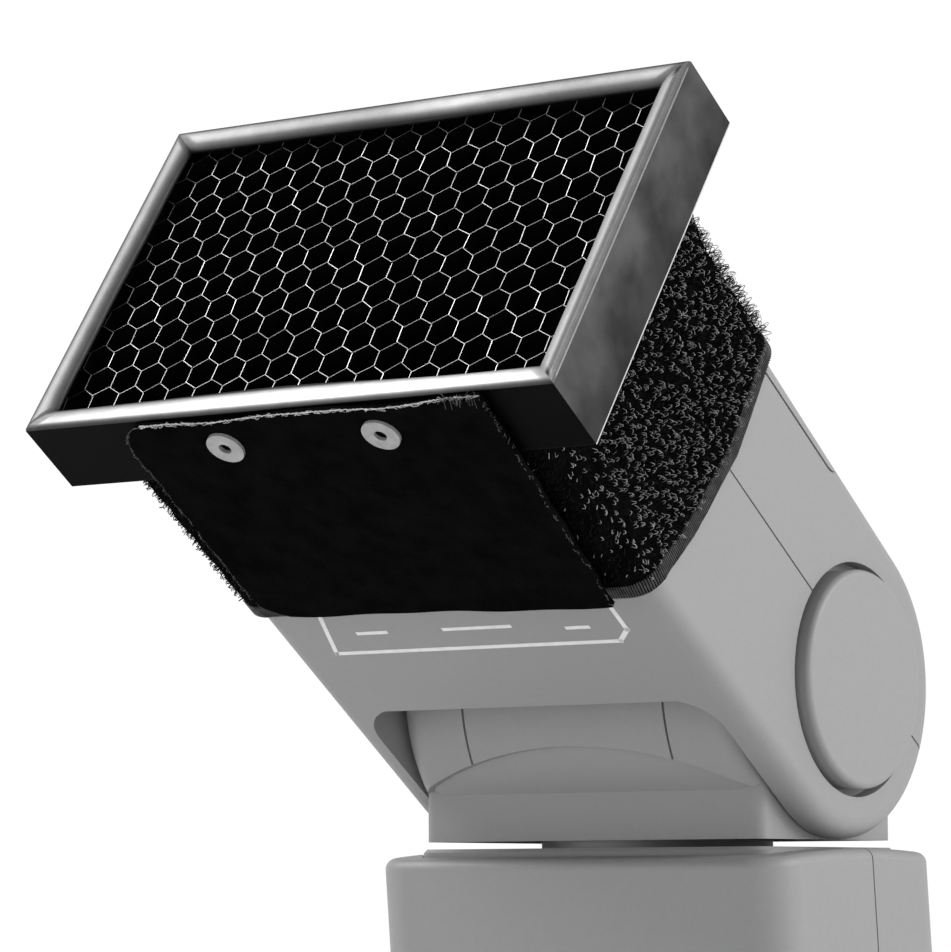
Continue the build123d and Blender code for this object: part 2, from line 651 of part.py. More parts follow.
with BuildPart() as recess:
    recess_view = outline(
        profile(0),
        (0, 0),
        (20.0, -18.6),
        (RECESS_FRONT, HEAD_LOW),
        (RECESS_FRONT + 1.2, HEAD_LOW - 1),
        (RECESS_FRONT + 1.2, -32),
        (-40, -32),
        (-40, 0),
    )
    extrude(recess_view, amount=EAR_IN, both=True)
    footprint = rounded(belly(0), 2 * EAR_IN, 80, 7.0, (0, 40 - RECESS_FRONT - 0.3))
    extrude(footprint, amount=-40, mode=Mode.INTERSECT)

with BuildPart() as neck_pocket:
    with BuildSketch(profile(0)) as pocket_view:
        with BuildLine():
            Line((0, 0), on_circle(POCKET_R, 47.5))
            ThreePointArc(
                on_circle(POCKET_R, 47.5), on_circle(POCKET_R, -45), on_circle(POCKET_R, -150)
            )
            Line(on_circle(POCKET_R, -150), (0, 0))
        make_face()
        Circle(BARREL_R + 0.8)
        with Locations((-20, -10.3)):
            Rectangle(40, 59.4)
    extrude(pocket_view.sketch, amount=EAR_IN, both=True)
    add(recess.part)


def head_openings():
    """Cut the neck's pocket, the disc seats and the shaft holes."""
    add(neck_pocket.part, mode=Mode.SUBTRACT)
    for side in (-1, 1):
        seat = disc(cheek(side * 32.8), DISC_R + 1.2)
        extrude(seat, amount=side * 5, mode=Mode.SUBTRACT)
        hole = disc(cheek(side * 30), SHAFT_R + RUN)
        extrude(hole, amount=side * 5, mode=Mode.SUBTRACT)


def head_slice(low, high):
    """Box that keeps the head between two heights of its own frame."""
    return block(profile(0), 200, high - low, (0, (low + high) / 2))


with BuildPart() as head_lower_shell:
    add(head_outer.part)
    add(head_cavity.part, mode=Mode.SUBTRACT)
    extrude(head_slice(HEAD_SEAM - GAP / 2, 60), amount=60, both=True, mode=Mode.SUBTRACT)
    for side in (-1, 1):
        tongue = block(cheek(side * 33.2), 50, 2.4, (-(HEAD_FRONT + 32) / 2 + 1, HEAD_SEAM + 0.3))
        extrude(tongue, amount=side * 0.9)
    head_openings()
save(head_lower_shell, "head_lower_shell")

with BuildPart() as head_upper_shell:
    add(head_outer.part)
    add(head_cavity.part, mode=Mode.SUBTRACT)
    extrude(head_slice(-60, HEAD_SEAM + GAP / 2), amount=60, both=True, mode=Mode.SUBTRACT)
    for side in (-1, 1):
        groove = block(cheek(side * 33.0), 51, 1.8, (-(HEAD_FRONT + 32) / 2 + 1, HEAD_SEAM + 0.9))
        extrude(groove, amount=side * 1.2, mode=Mode.SUBTRACT)
        with BuildSketch(cheek(side * (HEAD_W / 2 - 0.5))) as panel_line:
            with Locations((-60, 31)):
                RectangleRounded(80, 20, 4)
                RectangleRounded(79.2, 19.2, 3.6, mode=Mode.SUBTRACT)
        extrude(panel_line.sketch, amount=side, mode=Mode.SUBTRACT)
    head_openings()
save(head_upper_shell, "head_upper_shell")

with BuildPart() as ear_discs:
    for side in (-1, 1):
        extrude(disc(cheek(side * 32.9), DISC_R), amount=side * (DISC_X - 32.9))
    rims = [
        edge
        for face in (ear_discs.faces().sort_by(Axis.X)[0], ear_discs.faces().sort_by(Axis.X)[-1])
        for edge in face.edges()
    ]
    fillet(rims, radius=0.9)
    extrude(disc(cheek(-32), 6.1), amount=-8, mode=Mode.SUBTRACT)
save(ear_discs, "ear_discs")

with BuildPart() as tilt_release:
    extrude(disc(cheek(-35.2), 6.0), amount=-2.6)
    fillet(tilt_release.faces().sort_by(Axis.X)[0].edges(), radius=0.8)
    extrude(disc(cheek(-33.2), 3.0), amount=-2.1)
save(tilt_release, "tilt_release")

# ---- head front end -----------------------------------------------------------------------
LENS_W = 61.6
LENS_H = 37.6
with BuildPart() as front_bezel:
    extrude(rounded(section(80.0), 66.2, 41.8, 2.0, (0, -0.5)), amount=4.2)
    extrude(rounded(section(79), LENS_W - 4, LENS_H - 4, 1.5, (0, -0.5)), amount=8, mode=Mode.SUBTRACT)
    seat = rounded(section(79), LENS_W + 0.4, LENS_H + 0.4, 1.5, (0, -0.5))
    extrude(seat, amount=3.2, mode=Mode.SUBTRACT)
save(front_bezel, "front_bezel")

with BuildPart() as fresnel_lens:
    extrude(rounded(section(80.1), LENS_W, LENS_H, 1.3, (0, -0.5)), amount=1.4)
    ribs = [(0, -16.5 + 2.0 * n) for n in range(17)]
    extrude(block(section(81.4), LENS_W - 5, 0.9, *ribs), amount=0.5)
save(fresnel_lens, "fresnel_lens")

with BuildPart() as wide_panel:
    extrude(rounded(section(52), 60, 0.8, 0.35, (0, 21.4)), amount=31.5)
save(wide_panel, "wide_panel")

with BuildPart() as bounce_card:
    extrude(rounded(section(52), 56, 0.4, 0.18, (0, 22.2)), amount=31.5)
save(bounce_card, "bounce_card")

# ---- zoom mechanism -----------------------------------------------------------------------
ROD_X = 29.6
SCREW = (-29.2, -10.0)
CARRIAGE_BACK = 50.0

with BuildPart() as guide_rods:
    extrude(disc(section(29.3), 1.2, (-ROD_X, 2), (ROD_X, 2)), amount=50)
save(guide_rods, "guide_rods")

with BuildPart() as zoom_motor:
    extrude(disc(section(30.4), 3.6, SCREW, bore=1.2 + RUN), amount=10)
    extrude(disc(section(40.2), 2.0, SCREW, bore=1.2 + RUN), amount=1.0)
save(zoom_motor, "zoom_motor")

with BuildPart() as lead_screw:
    extrude(disc(section(31), 1.2, SCREW), amount=48)
    for turn in range(22):
        thread = disc(section(44 + 1.5 * turn), 1.4, SCREW, bore=0.95)
        extrude(thread, amount=0.5, mode=Mode.SUBTRACT)
save(lead_screw, "lead_screw")

with BuildPart() as zoom_carriage:
    extrude(rounded(section(CARRIAGE_BACK), 65.0, 33.0, 3.0, (0, 1)), amount=13)
    extrude(rounded(section(CARRIAGE_BACK - 1), 53.6, 29.4, 0.4, (0, 0.5)), amount=20, mode=Mode.SUBTRACT)
    guides = disc(section(CARRIAGE_BACK - 1), 1.2 + RUN, (-ROD_X, 2), (ROD_X, 2), SCREW)
    extrude(guides, amount=20, mode=Mode.SUBTRACT)
save(zoom_carriage, "zoom_carriage")


def trough(plane, back, opening, half):
    """Side outline of the reflector: a curved trough that opens forward."""
    with BuildSketch(plane) as face:
        with BuildLine():
            ThreePointArc((opening, half), (back, 0), (opening, -half))
            Line((opening, -half), (opening, half))
        make_face()
    return face.sketch


with BuildPart() as reflector:
    extrude(trough(profile(0), 48.0, 66.0, 13.4), amount=26.4, both=True)
    extrude(trough(profile(0), 48.8, 66.9, 13.1), amount=25.6, both=True, mode=Mode.SUBTRACT)
    extrude(disc(cheek(-30), 2.5, (-52.6, 0)), amount=60, mode=Mode.SUBTRACT)
save(reflector, "reflector")

with BuildPart() as flash_tube:
    extrude(disc(cheek(-24.4), 1.9, (-52.6, 0)), amount=48.8)
    extrude(disc(cheek(-26.6), 2.3, (-52.6, 0)), amount=2.4)
    extrude(disc(cheek(24.2), 2.3, (-52.6, 0)), amount=2.4)
save(flash_tube, "flash_tube")

with BuildPart() as head_board:
    extrude(block(belly(-20.9), 54, 42, (0, -54)), amount=1.4)
    extrude(block(belly(-19.6), 7, 9, (-12, -40), (6, -40), (14, -60)), amount=2.4)
    extrude(block(belly(-19.6), 12, 6, (-8, -66)), amount=2.0)
save(head_board, "head_board")

with BuildPart() as trigger_coil:
    extrude(disc(section(30.5), 3.4, (25, -13)), amount=9)
    extrude(disc(section(30.0), 4.0, (25, -13)), amount=1.0)
    extrude(disc(section(39.0), 4.0, (25, -13)), amount=1.0)
save(trigger_coil, "trigger_coil")

# ---- honeycomb grid -----------------------------------------------------------------------
GRID_MID = (0, GRID_RISE)
FLAP_X = 1.8  # the flaps sit a little off the grid's middle
RIVET_X = 13.4  # rivets either side of the flaps' middle
RIVET_ALONG = 91.3
GRID_TOP = GRID_RISE + GRID_H / 2
GRID_BOTTOM = GRID_RISE - GRID_H / 2
FLAP_T = 1.2
FLAP_BACK = 52.5
FLAP_FRONT = 96.3
TOP_FLAP_FRONT = 94.6
RIVETS = [(FLAP_X + side * RIVET_X, -RIVET_ALONG) for side in (-1, 1)]

with BuildPart() as grid_frame:
    extrude(rounded(section(GRID_BACK), GRID_W, GRID_H, 0.5, GRID_MID), amount=GRID_FRONT - GRID_BACK)
    front_rim = grid_frame.faces().sort_by(Axis(head_frame.origin, FORWARD))[-1]
    fillet(front_rim.edges(), radius=0.45)
    window_w = GRID_W - 2 * GRID_LIP
    window_h = GRID_H - 2 * GRID_LIP
    extrude(block(section(80), window_w, window_h, GRID_MID), amount=20, mode=Mode.SUBTRACT)
    channel = block(
        section(GRID_BACK + GRID_SHEET),
        GRID_W - 2 * GRID_SHEET,
        GRID_H - 2 * GRID_SHEET,
        GRID_MID,
    )
    extrude(channel, amount=GRID_FRONT - GRID_BACK - 2 * GRID_SHEET, mode=Mode.SUBTRACT)
    extrude(disc(belly(-40), 1.65, *RIVETS), amount=80, mode=Mode.SUBTRACT)
save(grid_frame, "grid_frame")

CORE_W = GRID_W - 2 * GRID_SHEET - 0.6
CORE_H = GRID_H - 2 * GRID_SHEET - 1.3
CORE_BACK = GRID_BACK + GRID_SHEET + 0.2
CORE_DEPTH = 8.6
ROW_PITCH = CELL * sqrt(3) / 2
LONG_ROW = 18  # cells in every other row; the rows between hold one fewer
ROWS = 13

with BuildPart() as honeycomb_core:
    with BuildSketch(section(CORE_BACK)) as comb:
        with Locations(GRID_MID):
            Rectangle(CORE_W, CORE_H)
        for row in range(ROWS):
            up = GRID_RISE + (row - (ROWS - 1) / 2) * ROW_PITCH
            cells = LONG_ROW - row % 2
            centres = [((n - (cells - 1) / 2) * CELL, up) for n in range(cells)]
            with Locations(*centres):
                RegularPolygon((CELL - FOIL) / 2, 6, major_radius=False, rotation=30, mode=Mode.SUBTRACT)
    extrude(comb.sketch, amount=CORE_DEPTH)
save(honeycomb_core, "honeycomb_core")

BAND_CLEAR = 0.35
BAND_T = 1.0
band_mid = (0, (HEAD_LOW + HEAD_HIGH) / 2)
band_w = HEAD_W + 2 * BAND_CLEAR
band_h = HEAD_HIGH - HEAD_LOW + 2 * BAND_CLEAR

with BuildPart() as grid_band:
    wrap = rounded(
        section(BAND_BACK), band_w + 2 * BAND_T, band_h + 2 * BAND_T, HEAD_EDGE + 1.3, band_mid
    )
    extrude(wrap, amount=BAND_FRONT - BAND_BACK)
    inside_band = rounded(section(BAND_BACK - 1), band_w, band_h, HEAD_EDGE + 0.3, band_mid)
    extrude(inside_band, amount=60, mode=Mode.SUBTRACT)
save(grid_band, "grid_band")

with BuildPart() as grid_flaps:
    low = GRID_BOTTOM - 0.05
    lower_flap = outline(
        profile(FLAP_X),
        (FLAP_BACK, low),
        (FLAP_FRONT, low),
        (FLAP_FRONT, low - FLAP_T),
        (FLAP_BACK, low - FLAP_T),
    )
    extrude(lower_flap, amount=FLAP_HALF, both=True)
    high = GRID_TOP + 0.05
    rest = 27.6
    upper_flap = outline(
        profile(FLAP_X),
        (TOP_FLAP_FRONT, high),
        (83.6, high),
        (66.0, rest),
        (FLAP_BACK, rest),
        (FLAP_BACK, rest + FLAP_T),
        (65.7, rest + FLAP_T),
        (83.3, high + FLAP_T),
        (TOP_FLAP_FRONT, high + FLAP_T),
    )
    extrude(upper_flap, amount=FLAP_HALF, both=True)
    extrude(disc(belly(-40), 1.65, *RIVETS), amount=80, mode=Mode.SUBTRACT)
save(grid_flaps, "grid_flaps")

with BuildPart() as grid_rivets:
    for side, face_up in ((-1, GRID_BOTTOM), (1, GRID_TOP)):
        outer = face_up + side * (0.05 + FLAP_T)
        extrude(disc(belly(outer), 2.8, *RIVETS), amount=side * 0.6)
        extrude(disc(belly(outer), 1.6, *RIVETS), amount=-side * (0.05 + FLAP_T + GRID_SHEET))
        inner = face_up - side * GRID_SHEET
        extrude(disc(belly(inner), 2.3, *RIVETS), amount=-side * 0.6)
        extrude(disc(belly(outer + side), 0.95, *RIVETS), amount=-side * 6, mode=Mode.SUBTRACT)
save(grid_rivets, "grid_rivets")
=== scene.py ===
"""Looks of the speedlight flash with its strapped-on honeycomb grid, in metres, in the CAD's own frame."""

import json
from math import cos, exp, pi, radians, sin

import bpy
import numpy as np
from mathutils import Matrix, Vector


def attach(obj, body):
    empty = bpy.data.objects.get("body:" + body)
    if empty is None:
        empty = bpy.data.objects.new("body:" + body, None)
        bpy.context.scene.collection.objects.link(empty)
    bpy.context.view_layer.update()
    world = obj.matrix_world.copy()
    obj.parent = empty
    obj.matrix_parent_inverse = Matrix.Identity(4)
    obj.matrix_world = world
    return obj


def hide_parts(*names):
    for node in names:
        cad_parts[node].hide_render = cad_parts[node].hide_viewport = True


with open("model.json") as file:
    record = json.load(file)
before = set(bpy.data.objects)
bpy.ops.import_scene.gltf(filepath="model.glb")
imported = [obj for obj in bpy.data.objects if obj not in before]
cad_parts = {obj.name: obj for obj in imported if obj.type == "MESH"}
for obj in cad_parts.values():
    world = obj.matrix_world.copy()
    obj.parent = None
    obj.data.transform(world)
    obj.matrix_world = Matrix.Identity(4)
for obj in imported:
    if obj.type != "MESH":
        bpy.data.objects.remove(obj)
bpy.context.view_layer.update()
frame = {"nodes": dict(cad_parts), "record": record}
rng = np.random.default_rng(7)

# ---- frames and sizes, millimetres as in the CAD ------------------------------------------
MM = 0.001
TILT = radians(35.3)
TILT_Z = 113.7
ACROSS = np.array((1.0, 0.0, 0.0))
FORWARD = np.array((0.0, -cos(TILT), sin(TILT)))
UP = np.array((0.0, sin(TILT), cos(TILT)))
TILT_CENTRE = np.array((0.0, 0.0, TILT_Z))
GRID_RISE = 2.9
GRID_HALF_W = 45.5
GRID_HALF_H = 29.35
GRID_BACK = 84.2
GRID_DEPTH = 12.6


def head(x, up, along):
    """Points of the tilted head, given in millimetres, as row-frame metres."""
    x, up, along = np.broadcast_arrays(x, up, along)
    return (TILT_CENTRE + x[..., None] * ACROSS + up[..., None] * UP + along[..., None] * FORWARD) * MM


# ---- shader helpers -----------------------------------------------------------------------
class Shader:
    """One procedural material under construction, laid out in object space."""

    def __init__(self, name):
        self.material = bpy.data.materials.new(name)
        self.material.use_nodes = True
        self.tree = self.material.node_tree
        self.surface = self.tree.nodes["Principled BSDF"]
        self.place = self.tree.nodes.new("ShaderNodeTexCoord").outputs["Object"]

    def node(self, kind, values=None, **settings):
        made = self.tree.nodes.new(kind)
        for key, value in settings.items():
            setattr(made, key, value)
        for key, value in (values or {}).items():
            if isinstance(value, bpy.types.NodeSocket):
                self.tree.links.new(value, made.inputs[key])
            else:
                made.inputs[key].default_value = value
        return made

    def noise(self, size_mm, detail=2.0, place=None):
        """Noise whose blobs are about size_mm across."""
        made = self.node(
            "ShaderNodeTexNoise",
            {"Vector": place or self.place, "Scale": 1 / (size_mm * MM), "Detail": detail},
        )
        return made.outputs["Fac"]

    def ramp(self, fac, *stops):
        """Colour ramp through (position, grey or rgb) stops."""
        made = self.node("ShaderNodeValToRGB", {"Fac": fac})
        points = made.color_ramp.elements
        while len(points) < len(stops):
            points.new(0.5)
        for point, (position, colour) in zip(points, stops):
            point.position = position
            point.color = (*colour, 1) if isinstance(colour, tuple) else (colour, colour, colour, 1)
        return made.outputs["Color"]

    def math(self, operation, a, b=0.0):
        return self.node("ShaderNodeMath", {0: a, 1: b}, operation=operation).outputs[0]

    def dot(self, axis, origin=(0, 0, 0)):
        """Distance in millimetres along an axis of the row frame."""
        moved = self.node("ShaderNodeVectorMath", {0: self.place, 1: tuple(origin)}, operation="SUBTRACT")
        turned = self.node(
            "ShaderNodeVectorMath",
            {0: moved.outputs[0], 1: tuple(v / MM for v in axis)},
            operation="DOT_PRODUCT",
        )
        return turned.outputs["Value"]

    def mix(self, fac, a, b):
        made = self.node("ShaderNodeMix", {"Factor": fac}, data_type="RGBA")
        for socket, value in ((made.inputs[6], a), (made.inputs[7], b)):
            if isinstance(value, bpy.types.NodeSocket):
                self.tree.links.new(value, socket)
            else:
                socket.default_value = (value, value, value, 1)
        return made.outputs[2]

    def bump(self, height, depth_mm, strength=1.0, normal=None):
        values = {"Height": height, "Distance": depth_mm * MM, "Strength": strength}
        if normal is not None:
            values["Normal"] = normal
        return self.node("ShaderNodeBump", values).outputs["Normal"]

    def finish(self, **sockets):
        """Set the Principled sockets by name; links carry colour, roughness and normal only."""
        for key, value in sockets.items():
            socket = self.surface.inputs[key.replace("_", " ")]
            if isinstance(value, bpy.types.NodeSocket):
                self.tree.links.new(value, socket)
            elif key == "Base_Color" and not isinstance(value, tuple):
                socket.default_value = (value, value, value, 1)
            else:
                socket.default_value = value
        return self.material


def speckled(name, low, high, size_mm, grain_mm, depth_mm, rough, **more):
    """Moulded or coated surface: mottled colour, fine grain in the relief, uneven gloss."""
    s = Shader(name)
    mottle = s.noise(size_mm, 4)
    grain = s.noise(grain_mm, 3)
    colour = s.ramp(mottle, (0.3, low), (0.7, high))
    gloss = s.ramp(grain, (0.2, max(rough - 0.08, 0.02)), (0.8, min(rough + 0.08, 1.0)))
    return s.finish(Base_Color=colour, Roughness=gloss, Normal=s.bump(grain, depth_mm), **more)


def tinted(colour, factor):
    return tuple(min(1.0, c * factor) for c in colour)


# ---- materials of the flash ---------------------------------------------------------------
GREY = (0.235, 0.235, 0.235)
shell_grey = speckled("shell_grey", tinted(GREY, 0.98), tinted(GREY, 1.02), 0.9, 0.28, 0.02, 0.52)
moulding_black = speckled("moulding_black", 0.018, 0.028, 5.0, 0.25, 0.015, 0.5)
rubber_grey = speckled("rubber_grey", 0.06, 0.08, 4.0, 0.2, 0.012, 0.75)
steel = speckled("steel", 0.5, 0.6, 3.0, 0.12, 0.004, 0.3, Metallic=1.0)
contact_brass = speckled(
    "contact_brass", (0.70, 0.52, 0.24), (0.80, 0.62, 0.32), 3.0, 0.15, 0.003, 0.28, Metallic=1.0
)
window_red = speckled(
    "window_red", (0.05, 0.004, 0.004), (0.07, 0.006, 0.006), 8.0, 0.6, 0.001, 0.08, Coat_Weight=0.5
)
cell_jacket = speckled("cell_jacket", 0.03, 0.045, 6.0, 0.8, 0.005, 0.3)
board_green = speckled("board_green", (0.01, 0.10, 0.04), (0.02, 0.15, 0.06), 2.5, 0.5, 0.02, 0.35)
winding_copper = speckled("winding_copper", (0.45, 0.22, 0.09), (0.60, 0.32, 0.14), 1.0, 0.3, 0.06, 0.35)
display_glass = speckled("display_glass", (0.20, 0.23, 0.18), (0.23, 0.26, 0.20), 9.0, 0.4, 0.001, 0.2)
clear_plastic = speckled("clear_plastic", 0.92, 0.97, 12.0, 1.5, 0.002, 0.06, Transmission_Weight=1.0, IOR=1.49)
pilot_lens = speckled("pilot_lens", (0.55, 0.12, 0.02), (0.65, 0.18, 0.03), 2.0, 0.3, 0.003, 0.2)
wire_jacket = speckled("wire_jacket", 0.02, 0.03, 2.0, 0.3, 0.01, 0.6)
card_white = speckled("card_white", 0.80, 0.86, 6.0, 0.3, 0.004, 0.6)
reflector_chrome = speckled("reflector_chrome", 0.85, 0.92, 5.0, 0.6, 0.006, 0.12, Metallic=1.0)
tube_glass = speckled("tube_glass", 0.93, 0.98, 5.0, 1.0, 0.001, 0.03, Transmission_Weight=1.0, IOR=1.46)


WASHER_TOP = 29.0  # from the grid's middle; the inner washers lie within it


def rivet_material():
    """Satin grey heads outside the frame, blackened washers inside it."""
    s = Shader("rivet_grey")
    from_middle = s.math("ABSOLUTE", s.dot(UP, TILT_CENTRE * MM + GRID_RISE * MM * UP))
    grain = s.noise(0.15, 3)
    head_grey = s.ramp(s.noise(1.2, 4), (0.3, 0.26), (0.7, 0.36))
    colour = s.mix(s.math("GREATER_THAN", from_middle, WASHER_TOP), 0.002, head_grey)
    gloss = s.ramp(grain, (0.2, 0.34), (0.8, 0.5))
    return s.finish(
        Base_Color=colour, Roughness=gloss, Normal=s.bump(grain, 0.006), Metallic=0.2, Specular_IOR_Level=0.3
    )


rivet_grey = rivet_material()
grid_black = speckled("grid_black", 0.003, 0.008, 2.2, 0.22, 0.012, 0.45, Specular_IOR_Level=0.2)

slot_materials = {
    "shell_grey": shell_grey,
    "moulding_black": moulding_black,
    "steel": steel,
    "contact_brass": contact_brass,
    "window_red": window_red,
    "cell_jacket": cell_jacket,
    "board_green": board_green,
    "winding_copper": winding_copper,
    "rubber_grey": rubber_grey,
    "display_glass": display_glass,
    "clear_plastic": clear_plastic,
    "pilot_lens": pilot_lens,
    "wire_jacket": wire_jacket,
    "card_white": card_white,
    "reflector_chrome": reflector_chrome,
    "tube_glass": tube_glass,
    "grid_black": grid_black,
    "core_black": moulding_black,
    "loop_fabric": moulding_black,
    "rivet_grey": rivet_grey,
}
for entry in frame["record"]["subparts"]:
    node = frame["nodes"][entry["node"]]
    for material_slot in node.material_slots:
        material_slot.material = slot_materials[entry["material_slot"]]


# ---- mesh helpers -------------------------------------------------------------------------
def piece(name, points, faces, body, materials, chosen=None, smooth=False):
    """New mesh piece that rides on a body."""
    mesh = bpy.data.meshes.new(name)
    mesh.from_pydata([tuple(p) for p in np.asarray(points, float)], [], faces)
    for material in materials:
        mesh.materials.append(material)
    if chosen is not None:
        mesh.polygons.foreach_set("material_index", np.asarray(chosen, dtype=np.int32))
    mesh.polygons.foreach_set("use_smooth", [smooth] * len(mesh.polygons))
    mesh.update()
    made = bpy.data.objects.new(name, mesh)
    bpy.context.scene.collection.objects.link(made)
    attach(made, body)
    return made


def unit(v):
    return v / np.maximum(np.linalg.norm(v, axis=-1, keepdims=True), 1e-12)


def tubes(paths, side, radius, sides=3):
    """Closed tubes along many paths at once: paths (n, m, 3), side (n, 3), radius (n,)."""
    count, steps, _ = paths.shape
    along = unit(np.gradient(paths, axis=1))
    across = unit(np.cross(np.broadcast_to(side[:, None, :], along.shape), along))
    other = np.cross(along, across)
    angle = np.arange(sides) * 2 * pi / sides
    ring = across[:, :, None, :] * np.cos(angle)[:, None] + other[:, :, None, :] * np.sin(angle)[:, None]
    points = paths[:, :, None, :] + radius[:, None, None, None] * ring
    index = np.arange(count * steps * sides).reshape(count, steps, sides)
    a, b = index[:, :-1, :], index[:, 1:, :]
    quads = np.stack([a, np.roll(a, -1, 2), np.roll(b, -1, 2), b], -1).reshape(-1, 4).tolist()
    caps = index[:, 0, ::-1].tolist() + index[:, -1, :].tolist()
    return points.reshape(-1, 3), quads + caps


def arches(base, run, out, width, height, radius, lean, steps=8):
    """Loops of thread: each stands on its base, runs along run and rises along out."""
    s = np.linspace(-0.12, 1.12, steps) * pi
    side = unit(np.cross(run, out))
    bow = np.sin(np.clip(s, 0, pi)) - 0.35 * (np.abs(s - pi / 2) > pi / 2)
    paths = (
        base[:, None, :]
        + run[:, None, :] * (width[:, None] / 2 * np.cos(s))[..., None]
        + out[:, None, :] * (height[:, None] * bow)[..., None]
        + side[:, None, :] * (lean[:, None] * np.sin(np.clip(s, 0, pi)) ** 2)[..., None]
    )
    return tubes(paths, side, radius)


# ---- folded frame of the grid -------------------------------------------------------------
LIP_W = 3.8
BARE_EDGE = 0.22
LIP_START = 1  # profile steps from here to LIP_END make the rolled front lip
LIP_END = 8
# (inset from the outer face, along the head) round one bar
BAR_PROFILE = np.array(
    (
        (0.0, 84.2),
        (0.0, 96.45),
        (0.15, 96.8),
        (0.8, 97.0),
        (1.7, 97.0),
        (2.7, 96.8),
        (3.5, 96.35),
        (3.8, 95.9),
        (3.7, 95.6),
        (1.0, 95.75),
        (1.0, 85.2),
        (3.8, 85.2),
        (3.8, 84.2),
    )
)
GRID_CENTRE = TILT_CENTRE * MM + GRID_RISE * MM * UP


def lip_material(name, normal, run, reach, half, across, lengthwise):
    """Satin black lip with painted highlight: its grey, a painted reflection of the lamps, follows the roll and
    the length of the bar.
    """
    s = Shader(f"lip_{name}")
    inset = s.math("DIVIDE", s.math("SUBTRACT", reach, s.dot(normal, GRID_CENTRE)), LIP_W)
    travel = s.math("ADD", s.math("DIVIDE", s.dot(run, GRID_CENTRE), 2 * half), 0.5)
    # painted highlight: the grey across the roll times the grey along the bar
    painted_highlight = s.math("MULTIPLY", s.ramp(inset, *across), s.ramp(travel, *lengthwise))
    mottle = s.ramp(s.noise(2.6, 5), (0.3, 0.78), (0.7, 1.0))
    fine = s.noise(0.2, 3)
    grey = s.math("MULTIPLY", painted_highlight, s.math("MULTIPLY", mottle, s.ramp(fine, (0.25, 0.82), (0.75, 1.0))))
    gloss = s.ramp(fine, (0.2, 0.34), (0.8, 0.48))
    return s.finish(
        Base_Color=grey, Roughness=gloss, Normal=s.bump(fine, 0.012), Specular_IOR_Level=0.4, Metallic=0.25
    )


def wall_material(name, low, high, rear):
    """Black coated wall with cloudy wear at greys set per side as painted light and shade, painted shade deeper
    into the frame, and a bare rear edge.
    """
    s = Shader(f"wall_{name}")
    along = s.dot(FORWARD, TILT_CENTRE * MM)
    # cloudy wear between a low and a high grey; the greys per side are painted light and shade, lightest on the
    # right wall
    cloud = s.ramp(s.noise(9.0, 4), (0.32, low), (0.68, high))
    forward = s.math("DIVIDE", s.math("SUBTRACT", along, GRID_BACK), GRID_DEPTH)
    # painted shade: darker towards the back of the frame
    depth_shade = s.ramp(forward, (0.0, 0.45), (0.45, 0.8), (0.95, 1.0))
    # bare rear edge; its grey per side is partly painted light
    edge = s.math("LESS_THAN", along, GRID_BACK + BARE_EDGE)
    colour = s.mix(edge, s.math("MULTIPLY", cloud, depth_shade), rear)
    fine = s.noise(0.22, 3)
    gloss = s.ramp(fine, (0.2, 0.4), (0.8, 0.56))
    return s.finish(Base_Color=colour, Roughness=gloss, Normal=s.bump(fine, 0.012), Specular_IOR_Level=0.02)


